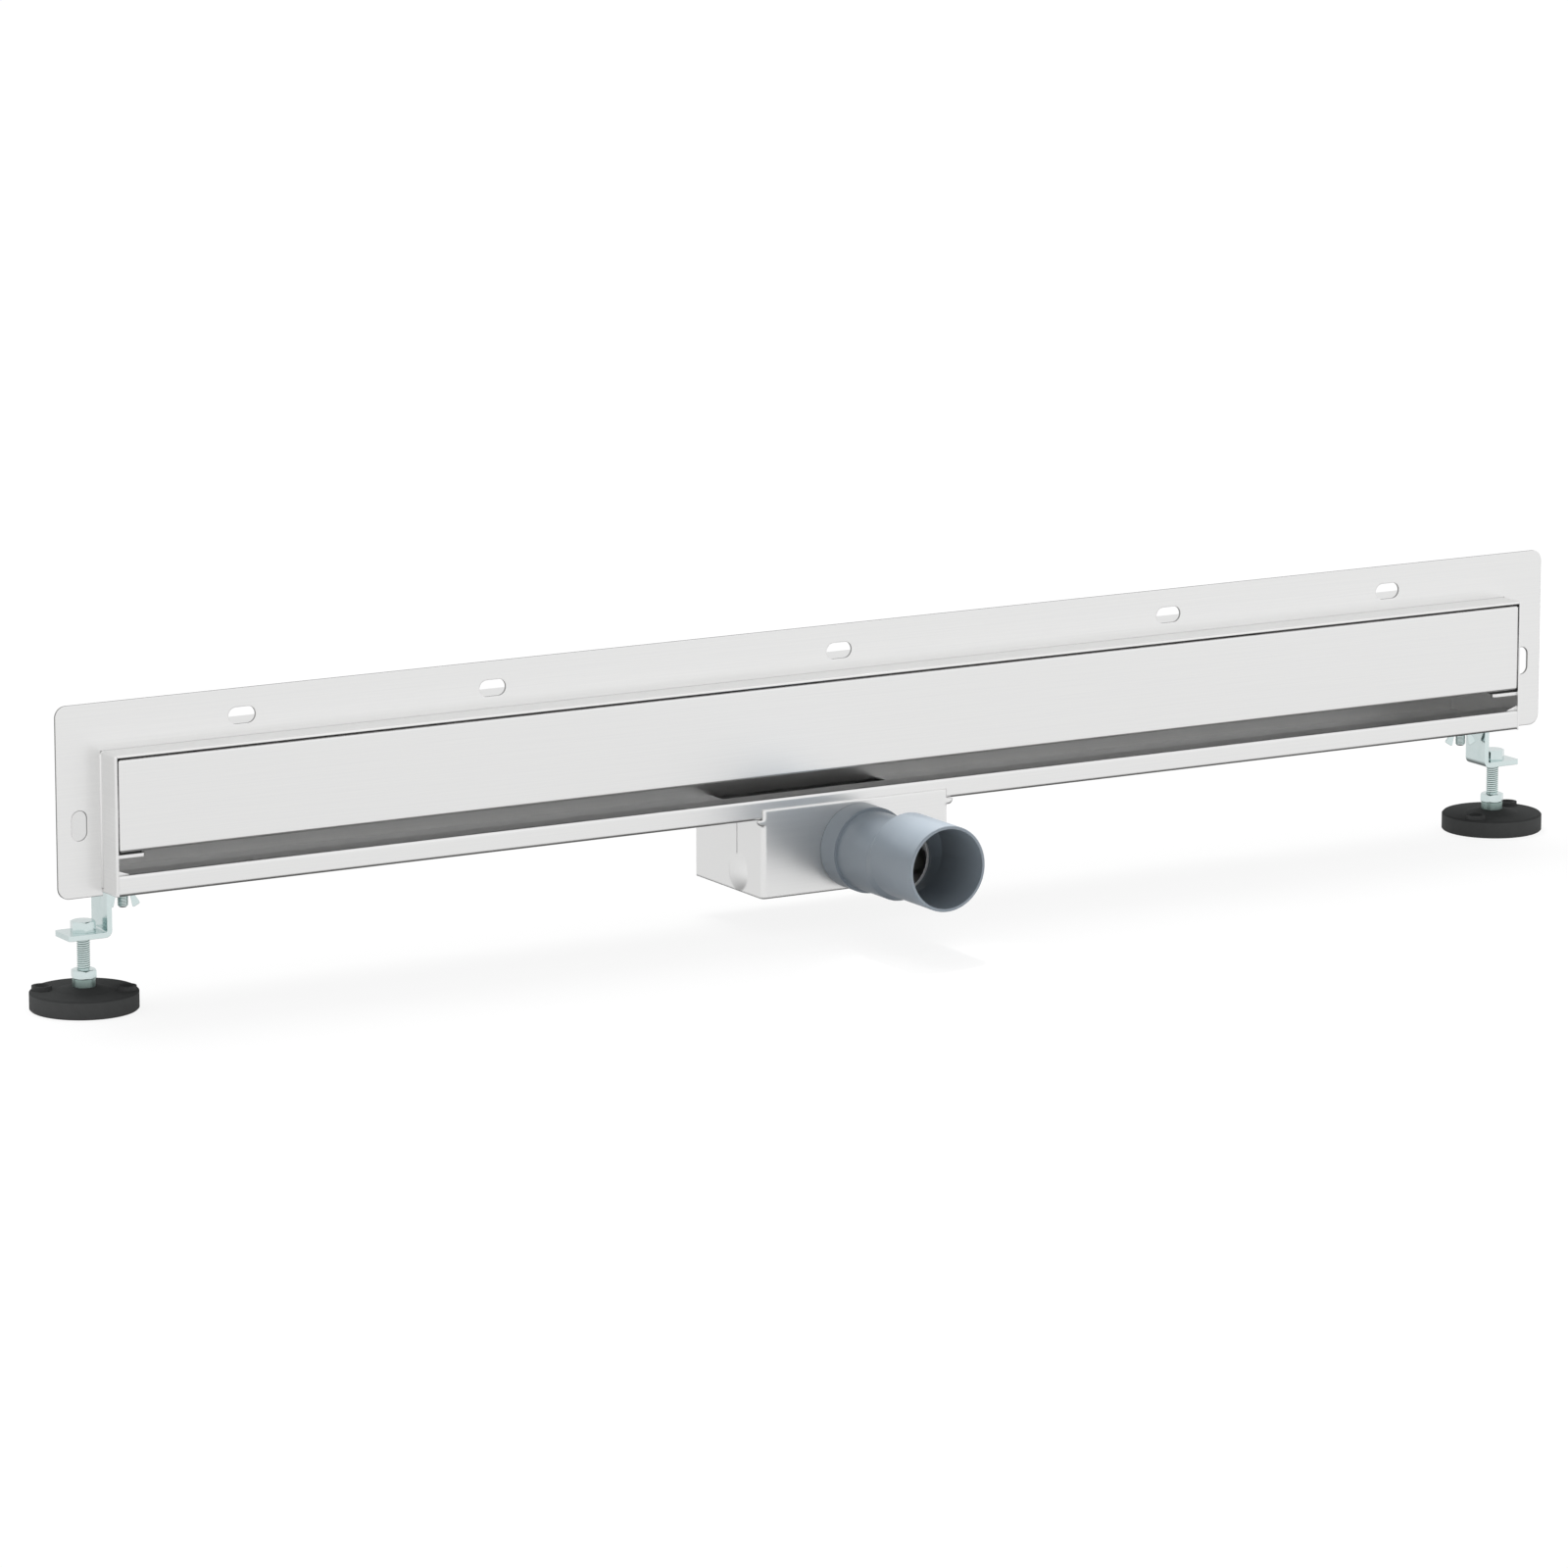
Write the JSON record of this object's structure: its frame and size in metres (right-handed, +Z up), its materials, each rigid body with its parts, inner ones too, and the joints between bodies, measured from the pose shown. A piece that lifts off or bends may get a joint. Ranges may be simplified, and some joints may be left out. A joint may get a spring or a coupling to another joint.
{
  "type": "linear shower drain",
  "caption": "Wall-mounted linear shower drain: a stainless channel with a lift-out front cover over an inlet slot, a wall flange, a flat water trap with a spigot outlet, and levelling feet.",
  "frame": {"origin": "centre of the middle fixing slot of the flange's upper row, on the flange's rear face", "axes": "+X along the channel, +Y into the wall, +Z up"},
  "size_m": [1.0172, 0.1782, 0.1748],
  "materials": {
    "stainless": "fine satin",
    "zinc": "bright zinc plating",
    "outlet_plastic": "smooth moulded",
    "rubber": "matt moulded"
  },
  "bodies": {
    "drain": {"wall_flange": "stainless", "channel_upper": "stainless", "channel_rear": "stainless", "channel_floor": "stainless", "channel_lip": "stainless", "cover_panel": "stainless", "trap_box": "stainless", "dip_plate": "stainless", "weir_plate": "stainless", "outlet_stub": "stainless", "outlet_reducer": "outlet_plastic", "reducer_seal": "rubber", "end_plate_left": "stainless", "end_plate_right": "stainless", "cover_rest_left": "stainless", "cover_rest_right": "stainless", "rest_pad_left": "rubber", "rest_pad_right": "rubber", "bracket_left": "zinc", "bracket_right": "zinc", "stud_left": "zinc", "stud_right": "zinc", "wing_nut_left": "zinc", "wing_nut_right": "zinc"},
    "left_foot": {"levelling_bolt_left": "zinc", "lock_nut_left": "zinc", "foot_insert_left": "zinc", "foot_pad_left": "rubber"},
    "right_foot": {"levelling_bolt_right": "zinc", "lock_nut_right": "zinc", "foot_insert_right": "zinc", "foot_pad_right": "rubber"}
  },
  "joints": [
    {"name": "left_foot_height", "type": "slide", "parent": "drain", "child": "left_foot", "axis": [0, 0, 1], "range_m": [0, 0.017]},
    {"name": "right_foot_height", "type": "slide", "parent": "drain", "child": "right_foot", "axis": [0, 0, 1], "range_m": [0, 0.017]}
  ]
}
